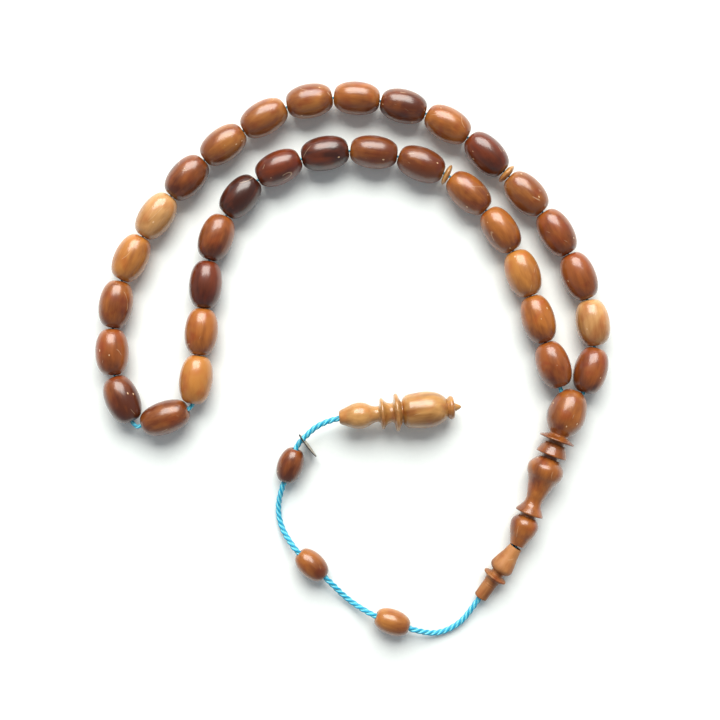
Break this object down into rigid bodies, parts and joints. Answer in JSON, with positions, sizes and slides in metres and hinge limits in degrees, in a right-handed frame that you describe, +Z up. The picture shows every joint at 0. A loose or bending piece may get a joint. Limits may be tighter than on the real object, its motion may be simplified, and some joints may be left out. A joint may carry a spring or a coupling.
{
  "type": "prayer beads",
  "caption": "String of polished palm-nut prayer beads with lens discs, a turned headpiece and a twisted tail cord ending in a turned ornament.",
  "frame": {"origin": "middle of the box round the laid-out string, at table height", "axes": "+Z up from the table, +Y from the tail towards the top of the loop, +X to the side where the headpiece lies"},
  "size_m": [0.1414, 0.1531, 0.0107],
  "materials": {
    "nut_pale": "polished palm nut, palest",
    "nut_honey": "polished palm nut, honey",
    "nut_amber": "polished palm nut, amber",
    "nut_chestnut": "polished palm nut, chestnut",
    "nut_dark": "polished palm nut, darkest",
    "nut_satin": "turned palm nut, satin",
    "cord": "twisted nylon cord, satin sheen",
    "sequin_metal": "thin tarnished metal disc"
  },
  "bodies": {
    "string": {"headpiece": "nut_amber", "loop_cord": "cord", "tail_cord": "cord", "joining_knot": "cord", "end_knot": "cord"},
    "bead_01": {"bead_01": "nut_chestnut"},
    "bead_02": {"bead_02": "nut_pale"},
    "bead_03": {"bead_03": "nut_chestnut"},
    "bead_04": {"bead_04": "nut_chestnut"},
    "bead_05": {"bead_05": "nut_honey"},
    "bead_06": {"bead_06": "nut_dark"},
    "bead_07": {"bead_07": "nut_amber"},
    "bead_08": {"bead_08": "nut_chestnut"},
    "bead_09": {"bead_09": "nut_amber"},
    "bead_10": {"bead_10": "nut_honey"},
    "bead_11": {"bead_11": "nut_honey"},
    "bead_12": {"bead_12": "nut_honey"},
    "bead_13": {"bead_13": "nut_chestnut"},
    "bead_14": {"bead_14": "nut_pale"},
    "bead_15": {"bead_15": "nut_honey"},
    "bead_16": {"bead_16": "nut_amber"},
    "bead_17": {"bead_17": "nut_chestnut"},
    "bead_18": {"bead_18": "nut_chestnut"},
    "bead_19": {"bead_19": "nut_amber"},
    "bead_20": {"bead_20": "nut_honey"},
    "bead_21": {"bead_21": "nut_amber"},
    "bead_22": {"bead_22": "nut_dark"},
    "bead_23": {"bead_23": "nut_chestnut"},
    "bead_24": {"bead_24": "nut_dark"},
    "bead_25": {"bead_25": "nut_dark"},
    "bead_26": {"bead_26": "nut_dark"},
    "bead_27": {"bead_27": "nut_amber"},
    "bead_28": {"bead_28": "nut_amber"},
    "bead_29": {"bead_29": "nut_amber"},
    "bead_30": {"bead_30": "nut_amber"},
    "bead_31": {"bead_31": "nut_honey"},
    "bead_32": {"bead_32": "nut_amber"},
    "bead_33": {"bead_33": "nut_chestnut"},
    "lens_disc_1": {"lens_disc_1": "nut_amber"},
    "lens_disc_2": {"lens_disc_2": "nut_amber"},
    "tail_bead_1": {"tail_bead_1": "nut_honey"},
    "tail_bead_2": {"tail_bead_2": "nut_amber"},
    "tail_bead_3": {"tail_bead_3": "nut_chestnut"},
    "foot": {"headpiece_foot": "nut_satin"},
    "ornament": {"ornament_socket": "nut_honey", "ornament_barrel": "nut_honey", "ornament_finial": "nut_amber"},
    "sequin": {"sequin": "sequin_metal"}
  },
  "joints": [
    {"name": "bead_01_spin", "type": "hinge", "parent": "string", "child": "bead_01", "pos_m": [0.06532, -0.00306, 0.00484], "axis": [0.2655, 0.9639, -0.0211], "continuous": true},
    {"name": "bead_02_spin", "type": "hinge", "parent": "string", "child": "bead_02", "pos_m": [0.06593, 0.01004, 0.0047], "axis": [-0.1729, 0.9849, 0], "continuous": true},
    {"name": "bead_03_spin", "type": "hinge", "parent": "string", "child": "bead_03", "pos_m": [0.06214, 0.02278, 0.0047], "axis": [-0.3904, 0.9207, 0], "continuous": true},
    {"name": "bead_04_spin", "type": "hinge", "parent": "string", "child": "bead_04", "pos_m": [0.05597, 0.03478, 0.0047], "axis": [-0.522, 0.8529, 0], "continuous": true},
    {"name": "bead_05_spin", "type": "hinge", "parent": "string", "child": "bead_05", "pos_m": [0.04765, 0.04545, 0.0047], "axis": [-0.6996, 0.7145, 0], "continuous": true},
    {"name": "bead_06_spin", "type": "hinge", "parent": "string", "child": "bead_06", "pos_m": [0.03676, 0.05634, 0.0047], "axis": [-0.7071, 0.7071, 0], "continuous": true},
    {"name": "bead_07_spin", "type": "hinge", "parent": "string", "child": "bead_07", "pos_m": [0.0261, 0.0645, 0.0047], "axis": [-0.8692, 0.4945, 0], "continuous": true},
    {"name": "bead_08_spin", "type": "hinge", "parent": "string", "child": "bead_08", "pos_m": [0.01392, 0.06951, 0.0047], "axis": [-0.966, 0.2586, 0], "continuous": true},
    {"name": "bead_09_spin", "type": "hinge", "parent": "string", "child": "bead_09", "pos_m": [0.00113, 0.0717, 0.0047], "axis": [-0.9971, 0.0767, 0], "continuous": true},
    {"name": "bead_10_spin", "type": "hinge", "parent": "string", "child": "bead_10", "pos_m": [-0.01187, 0.07096, 0.0047], "axis": [-0.982, -0.1888, 0], "continuous": true},
    {"name": "bead_11_spin", "type": "hinge", "parent": "string", "child": "bead_11", "pos_m": [-0.02437, 0.06626, 0.0047], "axis": [-0.8664, -0.4993, 0], "continuous": true},
    {"name": "bead_12_spin", "type": "hinge", "parent": "string", "child": "bead_12", "pos_m": [-0.03558, 0.05892, 0.0047], "axis": [-0.8036, -0.5952, 0], "continuous": true},
    {"name": "bead_13_spin", "type": "hinge", "parent": "string", "child": "bead_13", "pos_m": [-0.04557, 0.04988, 0.0047], "axis": [-0.673, -0.7396, 0], "continuous": true},
    {"name": "bead_14_spin", "type": "hinge", "parent": "string", "child": "bead_14", "pos_m": [-0.05399, 0.03936, 0.0047], "axis": [-0.5749, -0.8182, 0], "continuous": true},
    {"name": "bead_15_spin", "type": "hinge", "parent": "string", "child": "bead_15", "pos_m": [-0.06088, 0.0278, 0.0047], "axis": [-0.4442, -0.8959, 0], "continuous": true},
    {"name": "bead_16_spin", "type": "hinge", "parent": "string", "child": "bead_16", "pos_m": [-0.06506, 0.01506, 0.0047], "axis": [-0.1717, -0.9852, 0], "continuous": true},
    {"name": "bead_17_spin", "type": "hinge", "parent": "string", "child": "bead_17", "pos_m": [-0.0661, 0.00199, 0.0047], "axis": [0.0151, -0.9999, 0], "continuous": true},
    {"name": "bead_18_spin", "type": "hinge", "parent": "string", "child": "bead_18", "pos_m": [-0.06324, -0.01102, 0.0047], "axis": [0.4001, -0.9165, 0], "continuous": true},
    {"name": "bead_19_spin", "type": "hinge", "parent": "string", "child": "bead_19", "pos_m": [-0.05155, -0.01601, 0.0047], "axis": [0.9438, 0.3306, 0], "continuous": true},
    {"name": "bead_20_spin", "type": "hinge", "parent": "string", "child": "bead_20", "pos_m": [-0.04308, -0.00558, 0.0047], "axis": [0.1299, 0.9915, 0], "continuous": true},
    {"name": "bead_21_spin", "type": "hinge", "parent": "string", "child": "bead_21", "pos_m": [-0.0416, 0.00756, 0.0047], "axis": [0.0926, 0.9957, 0], "continuous": true},
    {"name": "bead_22_spin", "type": "hinge", "parent": "string", "child": "bead_22", "pos_m": [-0.04041, 0.02051, 0.0047], "axis": [0.0905, 0.9959, 0], "continuous": true},
    {"name": "bead_23_spin", "type": "hinge", "parent": "string", "child": "bead_23", "pos_m": [-0.03751, 0.03341, 0.0047], "axis": [0.3454, 0.9385, 0], "continuous": true},
    {"name": "bead_24_spin", "type": "hinge", "parent": "string", "child": "bead_24", "pos_m": [-0.03087, 0.04468, 0.0047], "axis": [0.6564, 0.7544, 0], "continuous": true},
    {"name": "bead_25_spin", "type": "hinge", "parent": "string", "child": "bead_25", "pos_m": [-0.02034, 0.05258, 0.0047], "axis": [0.906, 0.4233, 0], "continuous": true},
    {"name": "bead_26_spin", "type": "hinge", "parent": "string", "child": "bead_26", "pos_m": [-0.00761, 0.05655, 0.0047], "axis": [0.9856, 0.1692, 0], "continuous": true},
    {"name": "bead_27_spin", "type": "hinge", "parent": "string", "child": "bead_27", "pos_m": [0.00581, 0.0569, 0.0047], "axis": [0.9929, -0.1186, 0], "continuous": true},
    {"name": "bead_28_spin", "type": "hinge", "parent": "string", "child": "bead_28", "pos_m": [0.01881, 0.05358, 0.0047], "axis": [0.9285, -0.3714, 0], "continuous": true},
    {"name": "bead_29_spin", "type": "hinge", "parent": "string", "child": "bead_29", "pos_m": [0.03186, 0.04564, 0.0047], "axis": [0.7429, -0.6694, 0], "continuous": true},
    {"name": "bead_30_spin", "type": "hinge", "parent": "string", "child": "bead_30", "pos_m": [0.04065, 0.0355, 0.0047], "axis": [0.5564, -0.8309, 0], "continuous": true},
    {"name": "bead_31_spin", "type": "hinge", "parent": "string", "child": "bead_31", "pos_m": [0.04672, 0.02359, 0.0047], "axis": [0.3454, -0.9385, 0], "continuous": true},
    {"name": "bead_32_spin", "type": "hinge", "parent": "string", "child": "bead_32", "pos_m": [0.05095, 0.011, 0.0047], "axis": [0.2915, -0.9566, 0], "continuous": true},
    {"name": "bead_33_spin", "type": "hinge", "parent": "string", "child": "bead_33", "pos_m": [0.05508, -0.00151, 0.00483], "axis": [0.3363, -0.9415, 0.0207], "continuous": true},
    {"name": "lens_disc_1_spin", "type": "hinge", "parent": "string", "child": "lens_disc_1", "pos_m": [0.04225, 0.0509, 0.0047], "axis": [-0.7311, 0.6823, 0], "continuous": true},
    {"name": "lens_disc_2_spin", "type": "hinge", "parent": "string", "child": "lens_disc_2", "pos_m": [0.02584, 0.05068, 0.0047], "axis": [0.8944, -0.4472, 0], "continuous": true},
    {"name": "tail_bead_1_spin", "type": "hinge", "parent": "string", "child": "tail_bead_1", "pos_m": [0.0109, -0.07245, 0.0036], "axis": [-0.9382, 0.3461, 0], "continuous": true},
    {"name": "tail_bead_2_spin", "type": "hinge", "parent": "string", "child": "tail_bead_2", "pos_m": [-0.0113, -0.0567, 0.0036], "axis": [-0.7291, 0.6844, 0], "continuous": true},
    {"name": "tail_bead_3_spin", "type": "hinge", "parent": "string", "child": "tail_bead_3", "pos_m": [-0.01725, -0.02925, 0.00363], "axis": [0.3427, 0.9367, 0.0723], "continuous": true},
    {"name": "foot_spin", "type": "hinge", "parent": "string", "child": "foot", "pos_m": [0.04477, -0.0516, 0.00475], "axis": [-0.5532, -0.8233, -0.1271], "continuous": true},
    {"name": "ornament_spin", "type": "hinge", "parent": "string", "child": "ornament", "pos_m": [-0.0037, -0.0159, 0.00598], "axis": [0.9956, 0.0854, -0.0379], "continuous": true},
    {"name": "sequin_swing", "type": "hinge", "parent": "string", "child": "sequin", "pos_m": [-0.01365, -0.02211, 0.00444], "axis": [0.788, 0.6157, 0], "continuous": true}
  ]
}
